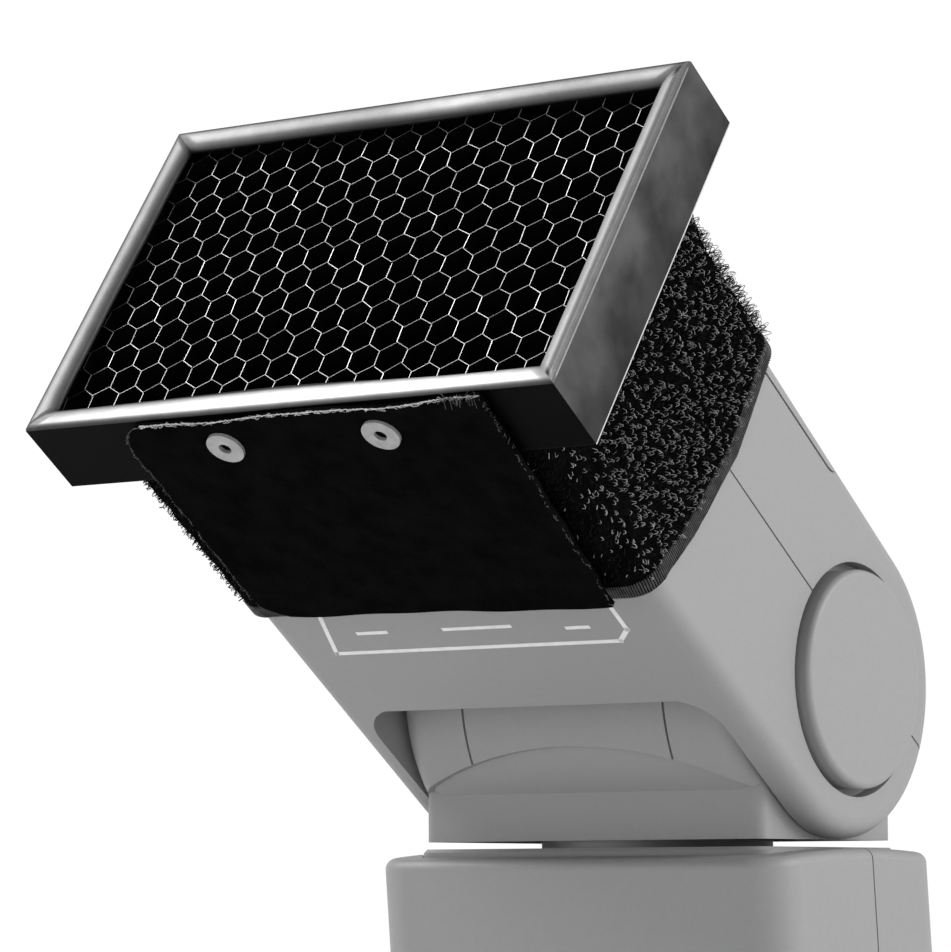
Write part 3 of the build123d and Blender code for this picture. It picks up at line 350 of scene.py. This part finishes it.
def frame_bars():
    """Four mitred bars of folded sheet with rolled front lips."""
    # greys across the rolled lip as painted highlight: bright on the roll, dark at its edges; the right bar's
    # creased ramp adds a painted dark line of shade in the crease
    plain = ((0.0, 0.02), (0.10, 0.25), (0.24, 0.9), (0.62, 1.0), (0.84, 0.55), (1.0, 0.04))
    creased = (
        (0.0, 0.3),
        (0.10, 0.6),
        (0.18, 0.45),
        (0.28, 0.02),
        (0.38, 0.03),
        (0.52, 0.8),
        (0.9, 1.0),
        (1.0, 0.1),
    )
    # greys across the lip and along it are painted highlight and shade, then the wall's darkest, lightest and
    # rear-edge greys; all are set per side by how the light falls
    along_right = ((0.0, 0.75), (0.06, 0.48), (0.5, 0.42), (1.0, 0.36))
    along_top = ((0.0, 0.26), (0.22, 0.20), (0.42, 0.36), (0.60, 0.16), (1.0, 0.32))
    along_left = ((0.0, 0.22), (0.5, 0.18), (1.0, 0.24))
    along_bottom = ((0.0, 0.35), (0.35, 0.75), (0.6, 1.0), (0.85, 1.0), (1.0, 0.6))
    looks = {
        "right": (creased, along_right, 0.035, 0.095, 0.5),
        "top": (plain, along_top, 0.004, 0.010, 0.05),
        "left": (plain, along_left, 0.003, 0.006, 0.03),
        "bottom": (plain, along_bottom, 0.001, 0.002, 0.004),
    }
    normals = {"right": (1, 0), "top": (0, 1), "left": (-1, 0), "bottom": (0, -1)}
    # how far the pressed lips swell inwards, and over what share of their length
    swells = {"right": 0.0, "top": 0.15, "left": -0.6, "bottom": 0.9}
    swell_reach = {"right": 0.5, "top": 0.4, "left": 1.5, "bottom": 0.42}
    stations = np.linspace(-1, 1, 41)
    points, faces, chosen, soft, materials = [], [], [], [], []
    steps = len(BAR_PROFILE)
    for number, (name, (nx, ny)) in enumerate(normals.items()):
        reach, half = (GRID_HALF_W, GRID_HALF_H) if nx else (GRID_HALF_H, GRID_HALF_W)
        rx, ry = -ny, nx
        across, lengthwise, low, high, rear = looks[name]
        normal, run = nx * ACROSS + ny * UP, rx * ACROSS + ry * UP
        materials.append(lip_material(name, normal, run, reach, half, across, lengthwise))
        materials.append(wall_material(name, low, high, rear))
        first = len(points)
        for t in stations:
            uneven = 0.12 * sin(2.1 * t + number) + 0.07 * sin(7.0 * t + 2 * number)
            bow = (1 - t**6) * (uneven + swells[name] * exp(-(((t + 0.05) / swell_reach[name]) ** 2)))
            for inset, along in BAR_PROFILE:
                d = inset + bow * (inset / LIP_W) ** 2 * (along > 95)
                x = nx * (reach - d) + rx * t * (half - d)
                up = ny * (reach - d) + ry * t * (half - d)
                points.append(head(x, up + GRID_RISE, along))
        for i in range(len(stations) - 1):
            for j in range(steps):
                k = (j + 1) % steps
                a, b = first + i * steps, first + (i + 1) * steps
                faces.append((a + j, b + j, b + k, a + k))
                rolled = LIP_START <= j < LIP_END
                chosen.append(2 * number if rolled else 2 * number + 1)
                soft.append(rolled)
        last = first + (len(stations) - 1) * steps
        faces.append(tuple(range(first, first + steps)))
        faces.append(tuple(range(last + steps - 1, last - 1, -1)))
        chosen += [2 * number + 1] * 2
        soft += [False] * 2
    made = piece("frame_bars", points, faces, "grid", materials, chosen)
    made.data.polygons.foreach_set("use_smooth", soft)
    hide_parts("grid_frame")


frame_bars()

# ---- honeycomb foil -----------------------------------------------------------------------
CELL = 4.74  # across flats; the stretched foil is a little taller, sheared and turned
FOIL_STRETCH = 1.0265
FOIL_SHEAR = -0.051
FOIL_TURN = -0.016
FOIL_SHIFT = (0.64, 2.155)
CORE_HALF_W = 44.3
CORE_HALF_H = 27.5
CORE_BACK = 85.5
CORE_FRONT = 94.0
EDGE_TIERS = 5


def honeycomb():
    """Cut foil cells with bright front edges, partly bare foil and partly painted light, their grey set by wall
    direction; bonded walls are doubled, so they look thicker.
    """
    foil = speckled("foil_black", 0.0015, 0.003, 3.0, 0.4, 0.01, 0.6, Specular_IOR_Level=0.05)
    edge_greys = [0.12, 0.22, 0.34, 0.50, 0.85]
    edges = [
        speckled(f"foil_edge_{n}", g * 0.75, min(g * 1.25, 0.95), 1.1, 0.1, 0.01, 0.45, Metallic=0.3)
        for n, g in enumerate(edge_greys)
    ]
    side = CELL / 3**0.5
    walls = {}
    for row in range(-8, 9):
        for column in range(-11, 12):
            cx = (column + 0.5 * (row % 2)) * CELL
            cy = row * side * 1.5
            corners = [
                (cx + side * cos(radians(30 + 60 * k)), cy + side * sin(radians(30 + 60 * k)))
                for k in range(6)
            ]
            for k in range(6):
                ends = (corners[k], corners[(k + 1) % 6])
                key = tuple(sorted((round(p[0], 2), round(p[1], 2)) for p in ends))
                walls[key] = k % 3
    knots = sorted({p for key in walls for p in key})
    shift = rng.normal(0, 0.07, (len(knots), 2))
    warped = {}
    for (x, y), (dx, dy) in zip(knots, shift):
        across = x + dx + 0.06 * sin(x * 0.31 - y * 0.23) + FOIL_SHEAR * y + FOIL_SHIFT[0]
        rise = (y + dy + 0.06 * sin(x * 0.27 + y * 0.33)) * FOIL_STRETCH + FOIL_SHIFT[1]
        warped[(x, y)] = np.array(
            (
                across * cos(FOIL_TURN) - rise * sin(FOIL_TURN),
                across * sin(FOIL_TURN) + rise * cos(FOIL_TURN),
            )
        )
    points, faces, chosen = [], [], []
    for key in sorted(walls):
        a, b = (warped[p] for p in key)
        low, high = 0.0, 1.0
        d = b - a
        inside = True
        for axis, limit in ((0, CORE_HALF_W), (1, CORE_HALF_H)):
            for sign in (-1, 1):
                start, step = sign * a[axis] - limit, sign * d[axis]
                if abs(step) < 1e-9:
                    inside = inside and start <= 0
                elif step > 0:
                    high = min(high, -start / step)
                else:
                    low = max(low, -start / step)
        if not inside or low >= high - 0.05:
            continue
        a, b = a + d * low, a + d * high
        family = walls[key]
        half = {0: 0.040, 1: 0.042, 2: 0.055}[family] * rng.uniform(0.85, 1.2)
        normal = np.array((-(b - a)[1], (b - a)[0])) / np.linalg.norm(b - a) * half
        sink = rng.uniform(0.0, 0.25)
        first = len(points)
        for along in (CORE_BACK, CORE_FRONT - sink):
            for p in (a - normal, a + normal, b + normal, b - normal):
                points.append(head(p[0], p[1] + GRID_RISE, along))
        faces += [
            (first, first + 1, first + 2, first + 3),
            (first + 7, first + 6, first + 5, first + 4),
            (first + 1, first, first + 4, first + 5),
            (first + 2, first + 1, first + 5, first + 6),
            (first + 3, first + 2, first + 6, first + 7),
            (first, first + 3, first + 7, first + 4),
        ]
        # painted light: each wall direction gets its own grey of front edge, with a little random spread
        lit_tier = int(np.clip({0: 2, 1: 1, 2: 3}[family] + rng.choice([-1, 0, 0, 0, 1]), 0, EDGE_TIERS - 1))
        chosen += [0, lit_tier + 1, 0, 0, 0, 0]
    made = piece("honeycomb_foil", points, faces, "grid", [foil, *edges], chosen)
    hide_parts("honeycomb_core")


honeycomb()

# ---- hook-and-loop band -------------------------------------------------------------------
# the rear edge runs forward as it goes down the sides and under the head
REAR_UPS = (-26.0, -20.0, -12.0, 5.0, 26.0)
REAR_ALONGS = (50.9, 50.4, 48.2, 45.8, 47.0)
BAND_FRONT = 83.7
BAND_W = 73.3
BAND_H = 51.5
BAND_MID = 0.8
BAND_R = 4.6
BAND_T = 0.85
FLAP_HALF = 30.5
SELVEDGE = 2.4
LOOP_RISE = {"right": 1.45, "left": 0.45, "top": 1.0, "bottom": 0.6}
LIT_SHARE = {"right": 0.7, "left": 0.35, "top": 0.4, "bottom": 0.05}


def band_walk(distance):
    """Place (x, up), run direction and outward direction at a distance round the band, millimetres."""
    half_w, half_h = BAND_W / 2 - BAND_R, BAND_H / 2 - BAND_R
    quarter = BAND_R * pi / 2
    legs = [2 * half_h, quarter, 2 * half_w, quarter] * 2
    total = sum(legs)
    d = distance % total
    for number, leg in enumerate(legs):
        if d < leg:
            break
        d -= leg
    turn = (number // 2) * pi / 2
    if number % 2 == 0:
        wide, tall = (half_w, half_h) if number % 4 == 0 else (half_h, half_w)
        place, out, run = (wide + BAND_R, -tall + d), (1.0, 0.0), (0.0, 1.0)
    else:
        wide, tall = (half_w, half_h) if number % 4 == 1 else (half_h, half_w)
        a = d / BAND_R
        place = (wide + BAND_R * cos(a), tall + BAND_R * sin(a))
        out, run = (cos(a), sin(a)), (-sin(a), cos(a))
    c, s = cos(turn), sin(turn)

    def spin(v):
        return (c * v[0] - s * v[1], s * v[0] + c * v[1])

    x, up = spin(place)
    return (x, up + BAND_MID), spin(run), spin(out)


def band_rear(up):
    """Where the band's rear edge lies along the head at a height."""
    return np.interp(up, REAR_UPS, REAR_ALONGS)


BAND_ROUND = 2 * (BAND_W - 2 * BAND_R) + 2 * (BAND_H - 2 * BAND_R) + 2 * pi * BAND_R


def woven(name, low, high, thread_mm, glint_amount):
    """Black webbing: crossed threads in the relief with a few grey flecks, painted glints on the strand tops.
    """
    s = Shader(name)
    x = s.dot(ACROSS)
    along = s.dot(FORWARD, TILT_CENTRE * MM)
    up = s.dot(UP, TILT_CENTRE * MM)
    warp = s.math("SINE", s.math("MULTIPLY", s.math("ADD", x, up), 2 * pi / thread_mm))
    weft = s.math("SINE", s.math("MULTIPLY", along, 2 * pi / thread_mm))
    weave = s.math("MULTIPLY", warp, weft)
    fuzz = s.noise(0.16, 4)
    # grey flecks: painted glints on the strand tops
    glint_flecks = s.math("GREATER_THAN", s.noise(0.35, 2), 0.72)
    base = s.ramp(s.noise(4.0, 4), (0.3, low), (0.7, high))
    colour = s.mix(s.math("MULTIPLY", glint_flecks, glint_amount), base, 0.25)
    relief = s.bump(fuzz, 0.10, 0.8, s.bump(weave, 0.05))
    return s.finish(Base_Color=colour, Roughness=0.9, Normal=relief, Specular_IOR_Level=0.0)


web_black = woven("web_black", 0.002, 0.005, 0.7, 0.12)
thread_black = speckled("thread_black", 0.003, 0.008, 0.8, 0.2, 0.005, 0.4, Specular_IOR_Level=0.05)
thread_lit = speckled("thread_lit", 0.12, 0.38, 0.9, 0.2, 0.005, 0.35, Specular_IOR_Level=0.6)
rib_black = speckled("rib_black", 0.02, 0.07, 1.2, 0.2, 0.01, 0.45, Specular_IOR_Level=0.4)


def band():
    """The sleeve, its ribbed rear selvedge and its rows of standing loops."""
    around = 240
    m = 60
    points, faces = [], []
    for n in range(around):
        (x, up), _, (ox, oy) = band_walk(n * BAND_ROUND / around)
        alongs = np.linspace(band_rear(up), BAND_FRONT, m)
        swell = 0.10 * sin(n * 0.35) * np.sin(alongs * 0.9) + rng.normal(0, 0.03, len(alongs))
        for layer in (0.0, 1.0):
            depth = -BAND_T * layer - 0.15 + (swell if layer == 0 else 0)
            points.extend(head(x + ox * depth, up + oy * depth, alongs))
    for n in range(around):
        here, there = 2 * m * n, 2 * m * ((n + 1) % around)
        for k in range(m - 1):
            faces.append((here + k, there + k, there + k + 1, here + k + 1))
            faces.append((here + m + k + 1, there + m + k + 1, there + m + k, here + m + k))
        faces.append((here, here + m, there + m, there))
        faces.append((here + m - 1, there + m - 1, there + 2 * m - 1, here + 2 * m - 1))
    web = piece("band_web", points, faces, "grid", [web_black], smooth=True)
    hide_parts("grid_band")

    ribs = int(BAND_ROUND / 0.42)
    base = np.array([band_walk((n + 0.5) * BAND_ROUND / ribs) for n in range(ribs)])
    spots, runs, outs = base[:, 0], base[:, 1], base[:, 2]
    steps = np.linspace(0, 1, 4)
    slant = 0.35
    x = spots[:, None, 0] + runs[:, None, 0] * slant * steps + outs[:, None, 0] * -0.10
    up = spots[:, None, 1] + runs[:, None, 1] * slant * steps + outs[:, None, 1] * -0.10
    paths = head(x, up, band_rear(spots[:, 1])[:, None] + 0.1 + SELVEDGE * steps[None, :])
    side = outs[:, :1] * ACROSS + outs[:, 1:] * UP
    rib_points, rib_faces = tubes(paths, side, np.full(ribs, 0.15 * MM), sides=4)
    edge = piece("band_selvedge", rib_points, rib_faces, "grid", [rib_black], smooth=True)

    along_rows = np.arange(BAND_FRONT - 0.6, min(REAR_ALONGS) + SELVEDGE, -1.4)
    pitch = 1.2
    sides = {"right": [], "left": [], "top": [], "bottom": []}
    for row, along in enumerate(along_rows):
        for n in range(int(BAND_ROUND / pitch)):
            walk = band_walk((n + 0.5 * (row % 2) + rng.normal(0, 0.13)) * pitch)
            (px, py), _, (ox, oy) = walk
            name = ("right" if px > 0 else "left") if abs(ox) > 0.7 else ("top" if oy > 0 else "bottom")
            if abs(ox) < 0.5 and abs(px) < FLAP_HALF - 0.8 or along < band_rear(py) + SELVEDGE + 0.6:
                continue
            sides[name].append((walk, along + rng.normal(0, 0.12)))
    for name, found in sides.items():
        walks = np.array([w for w, _ in found])
        along = np.array([a for _, a in found])
        count = len(found)
        doubled = np.repeat(np.arange(count), 2)
        walks, along = walks[doubled], along[doubled] + rng.normal(0, 0.16, 2 * count)
        spots, runs, outs = walks[:, 0], walks[:, 1], walks[:, 2]
        tall = LOOP_RISE[name]
        out = outs[:, :1] * ACROSS + outs[:, 1:] * UP
        run = runs[:, :1] * ACROSS + runs[:, 1:] * UP
        turn = rng.normal(0.9, 0.3, 2 * count)[:, None]
        run = unit(run * np.cos(turn) + FORWARD * np.sin(turn))
        out = unit(out + rng.normal(0, 0.22, (2 * count, 3)))
        base = head(spots[:, 0] - outs[:, 0] * 0.2, spots[:, 1] - outs[:, 1] * 0.2, along)
        loop_points, loop_faces = arches(
            base,
            run,
            out,
            rng.uniform(0.55, 0.95, 2 * count) * MM,
            rng.uniform(0.9, 1.45, 2 * count) * tall * MM,
            rng.uniform(0.05, 0.07, 2 * count) * MM,
            rng.normal(0, 0.3, 2 * count) * MM,
        )
        # the crown of some loops catches the light
        lit = rng.random(2 * count) < LIT_SHARE[name]
        crown = np.zeros((2 * count, 7, 3), bool)
        crown[lit, 2:5] = True
        glint = np.concatenate([crown.ravel(), np.zeros(4 * count, bool)])
        piece(
                f"band_loops_{name}",
                loop_points,
                loop_faces,
                "grid",
                [thread_black, thread_lit],
                glint,
                smooth=True,
            )


band()

# ---- hook flaps riveted to the frame ------------------------------------------------------
FLAP_FRONT = 96.2
TOP_FLAP_FRONT = 93.4
FLAP_X = 1.8
FLAP_T = 1.1
FLAP_CORNER = 4.2
REAR_CORNER = 5.0
hook_black = woven("hook_black", 0.0025, 0.0045, 0.9, 0.01)
# the same black fibres in two greys: the front frays and loose thread are painted lighter as lit, the side
# frays and tuft dimmer
fray_lit_grey = speckled("fray_lit_grey", 0.35, 0.65, 0.6, 0.1, 0.004, 0.5)
fray_dim = speckled("fray_dim", 0.04, 0.10, 0.6, 0.1, 0.004, 0.5)


def flap(name, profile):
    """One flap along a side profile of (along, up, outward up) points, front end first."""
    profile = np.array(profile, float)
    lengths = np.concatenate([[0], np.cumsum(np.linalg.norm(np.diff(profile[:, :2], axis=0), axis=1))])
    total = lengths[-1]
    rows, columns = 64, 62
    # denser near the rounded front corners
    travel = total * np.linspace(0, 1, rows) ** 1.35
    along = np.interp(travel, lengths, profile[:, 0])
    up = np.interp(travel, lengths, profile[:, 1])
    sign = profile[0, 2]
    points = []
    inset = np.where(
        travel < FLAP_CORNER,
        FLAP_CORNER - np.sqrt(np.maximum(FLAP_CORNER**2 - (FLAP_CORNER - travel) ** 2, 0)),
        0,
    )
    uneven = [0.14 * np.sin(travel * 0.7 + k) + 0.07 * np.sin(travel * 2.3 + 2 * k) for k in (0, 1.7)]
    tail_inset = REAR_CORNER * np.clip((travel - total) / REAR_CORNER + 1, 0, 1) ** 3
    share = travel / total
    left = FLAP_X - FLAP_HALF + inset + tail_inset + 0.8 * (1 - share) + uneven[0]
    right = FLAP_X + FLAP_HALF - 0.12 * inset + 2.0 - 3.2 * share + uneven[1]
    for layer in (0, 1):
        for r in range(rows):
            t = np.linspace(0, 1, columns)
            x = left[r] + (right[r] - left[r]) * t
            wave = 0.16 * np.sin(x * 0.16 + travel[r] * 0.11) + 0.10 * np.sin(x * 0.41 - travel[r] * 0.23)
            rise = sign * (0.28 + (wave if layer else 0.0) + FLAP_T * layer)
            nose = 0.30 * np.sin(x * 0.21 + 0.6) * (1 - min(travel[r] / 3.0, 1.0))
            tail = -0.03 * x * (travel[r] / total) ** 4
            points.extend(head(x, up[r] + rise, along[r] + nose + tail))
    faces = []
    size = rows * columns
    for r in range(rows - 1):
        for c in range(columns - 1):
            a = r * columns + c
            quad = (a, a + 1, a + columns + 1, a + columns)
            faces.append(quad)
            faces.append(tuple(size + k for k in reversed(quad)))
    rim = [c for c in range(columns)]
    rim += [r * columns + columns - 1 for r in range(1, rows)]
    rim += [(rows - 1) * columns + c for c in range(columns - 2, -1, -1)]
    rim += [r * columns for r in range(rows - 2, 0, -1)]
    for a, b in zip(rim, rim[1:] + rim[:1]):
        faces.append((b, a, size + a, size + b))
    if sign > 0:
        faces = [tuple(reversed(f)) for f in faces]
    made = piece(name, points, faces, "grid", [hook_black], smooth=True)
    edge_split = made.modifiers.new("soft_edge", "BEVEL")
    edge_split.width = 0.25 * MM
    edge_split.segments = 2
    edge_split.limit_method = "ANGLE"
    edge_split.angle_limit = radians(50)

    grid = np.array(points).reshape(2, rows, columns, 3)[1]
    front = grid[0]
    sides = [grid[:, 0], grid[:, -1]]
    for tag, line, count, tall, material, away in (
        ("front", front, 260, 0.18, fray_lit_grey, FORWARD),
        ("left", sides[0], 240, 0.34, fray_dim, -ACROSS),
        ("right", sides[1], 80, 0.2, fray_dim, ACROSS),
    ):
        where = np.sort(rng.uniform(0.0, 1.0, count)) * (len(line) - 1)
        low = np.minimum(where.astype(int), len(line) - 2)
        mix = (where - low)[:, None]
        base = line[low] * (1 - mix) + line[low + 1] * mix
        base = base - sign * UP * (rng.uniform(0.0, 0.35, count) * MM)[:, None]
        run = unit((line[low + 1] - line[low]) + rng.normal(0, 0.25, (count, 3)) * MM)
        out = unit(away + sign * 0.5 * UP + rng.normal(0, 0.35, (count, 3)))
        fray_points, fray_faces = arches(
            base,
            run,
            out,
            rng.uniform(0.35, 1.1, count) * MM,
            rng.uniform(0.05, tall, count) * MM,
            rng.uniform(0.022, 0.042, count) * MM,
            rng.normal(0, 0.12, count) * MM,
            steps=6,
        )
        piece(f"{name}_fray_{tag}", fray_points, fray_faces, "grid", [material], smooth=True)
    # a loose binding thread along the front edge, and a tuft where it ends
    dense = np.linspace(0, len(front) - 1, 260)
    thread = np.stack([np.interp(dense, np.arange(len(front)), front[:, k]) for k in range(3)], -1)
    thread = thread + (FORWARD * 0.10 - sign * UP * 0.25 + rng.normal(0, 0.045, (260, 3))) * MM
    thread_points, thread_faces = tubes(thread[None], UP[None], np.array([0.075 * MM]), sides=4)
    piece(f"{name}_thread", thread_points, thread_faces, "grid", [fray_lit_grey], smooth=True)
    hairs = 90
    root = front[-1] + (
        -ACROSS * rng.uniform(0.2, 6.0, hairs)[:, None] - sign * UP * rng.uniform(0.0, 0.5, hairs)[:, None]
    ) * MM
    swing = unit(rng.normal(0, 0.8, (hairs, 3)) + 0.5 * FORWARD + 0.7 * sign * UP)
    reach = rng.uniform(0.3, 1.3, hairs)[:, None, None] * MM
    curl = np.linspace(0, 1, 5)[None, :, None]
    strands = root[:, None] + reach * (
        curl * swing[:, None] - 0.5 * curl**2 * rng.uniform(0.2, 1.0, (hairs, 1, 1)) * FORWARD
    )
    hair_points, hair_faces = tubes(strands, np.tile(ACROSS, (hairs, 1)), np.full(hairs, 0.035 * MM))
    piece(f"{name}_tuft", hair_points, hair_faces, "grid", [fray_dim], smooth=True)
    return made


low_face = GRID_RISE - GRID_HALF_H
high_face = GRID_RISE + GRID_HALF_H
lower_flap = flap("flap_lower", [(FLAP_FRONT, low_face, -1), (53.4, low_face, -1)])
flap(
    "flap_upper",
    [(TOP_FLAP_FRONT, high_face, 1), (83.6, high_face, 1), (66.0, 27.5, 1), (52.5, 27.5, 1)],
)
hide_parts("grid_flaps")

# ---- printed outline under the head -------------------------------------------------------
print_white = speckled("print_white", 0.62, 0.72, 1.5, 0.2, 0.002, 0.5)


def ribbon(points, faces, a, b, width, up, thick):
    """Add one thin printed stroke between two (x, along) points on the head's underside."""
    a, b = np.array(a, float), np.array(b, float)
    d = (b - a) / np.linalg.norm(b - a)
    normal = np.array((-d[1], d[0])) * width / 2
    a, b = a - d * width / 2, b + d * width / 2
    first = len(points)
    for level in (up, up - thick):
        for p in (a - normal, a + normal, b + normal, b - normal):
            points.append(head(p[0], level, p[1]))
    for quad in ((3, 2, 1, 0), (4, 5, 6, 7), (0, 1, 5, 4), (1, 2, 6, 5), (2, 3, 7, 6), (3, 0, 4, 7)):
        faces.append(tuple(first + k for k in quad))


def label():
    """Plain frame with three short bars, in place of the printed marks."""
    points, faces = [], []
    frame_line = [(-22.4, 55.0), (-26.2, 40.2), (24.2, 40.2), (26.6, 42.6), (26.6, 56.0)]
    for a, b in zip(frame_line, frame_line[1:]):
        ribbon(points, faces, a, b, 0.75, -23.6, 0.05)
    for a, b in (((-19.5, 44.6), (-14.5, 44.6)), ((-4.0, 44.6), (7.5, 44.6)), ((17.0, 43.6), (20.5, 43.6))):
        ribbon(points, faces, a, b, 0.7, -23.6, 0.05)
    piece("label_outline", points, faces, "head", [print_white])


label()

# ---- stage, light and camera --------------------------------------------------------------
floor_mesh = bpy.data.meshes.new("floor")
reach = 2.0
floor_z = -0.0008
rim = [(reach * cos(radians(a)), reach * sin(radians(a)), floor_z) for a in range(0, 360, 5)]
floor_mesh.from_pydata(rim, [], [tuple(range(len(rim)))])
floor = bpy.data.objects.new("floor", floor_mesh)
bpy.context.scene.collection.objects.link(floor)
floor_mesh.materials.append(speckled("floor_pale", 0.78, 0.81, 200.0, 2.0, 0.002, 0.9))

world = bpy.data.worlds.new("studio")
bpy.context.scene.world = world
world.use_nodes = True
sky = world.node_tree
direction = sky.nodes.new("ShaderNodeTexCoord").outputs["Generated"]
height = sky.nodes.new("ShaderNodeSeparateXYZ")
sky.links.new(direction, height.inputs[0])
shade = sky.nodes.new("ShaderNodeMapRange")
sky.links.new(height.outputs["Z"], shade.inputs["Value"])
for key, value in (("From Min", 0.25), ("From Max", 0.55), ("To Min", 1.02), ("To Max", 0.4)):
    shade.inputs[key].default_value = value
sky.links.new(shade.outputs["Result"], sky.nodes["Background"].inputs["Color"])
sky.nodes["Background"].inputs["Strength"].default_value = 1.0


def softbox(name, place, target, size, watts):
    light = bpy.data.lights.new(name, "AREA")
    light.shape = "RECTANGLE"
    light.size, light.size_y = size
    light.energy = watts
    made = bpy.data.objects.new(name, light)
    bpy.context.scene.collection.objects.link(made)
    made.location = place
    made.rotation_euler = (Vector(target) - Vector(place)).to_track_quat("-Z", "Y").to_euler()


softbox("light_overhead_left", (-0.75, -0.45, 1.15), (0, -0.05, 0.14), (0.7, 0.7), 16)
softbox("light_right_back", (1.1, 0.5, 0.7), (0, 0, 0.1), (0.8, 0.8), 14)

# the camera's own axes in the row frame, columns right, up and back
camera_data = bpy.data.cameras.new("camera")
camera_data.sensor_fit = "HORIZONTAL"
camera_data.sensor_width = 36
camera_data.lens = 152.76
camera = bpy.data.objects.new("camera", camera_data)
bpy.context.scene.collection.objects.link(camera)
right = Vector((0.81386, 0.58104, -0.00332))
rise = Vector((0.06161, -0.08060, 0.99484))
back = right.cross(rise)
camera.matrix_world = Matrix(
    (
        (right.x, rise.x, back.x, 0.33797),
        (right.y, rise.y, back.y, -0.52138),
        (right.z, rise.z, back.z, 0.08311),
        (0, 0, 0, 1),
    )
)
bpy.context.scene.camera = camera
bpy.context.scene.view_settings.view_transform = "Standard"
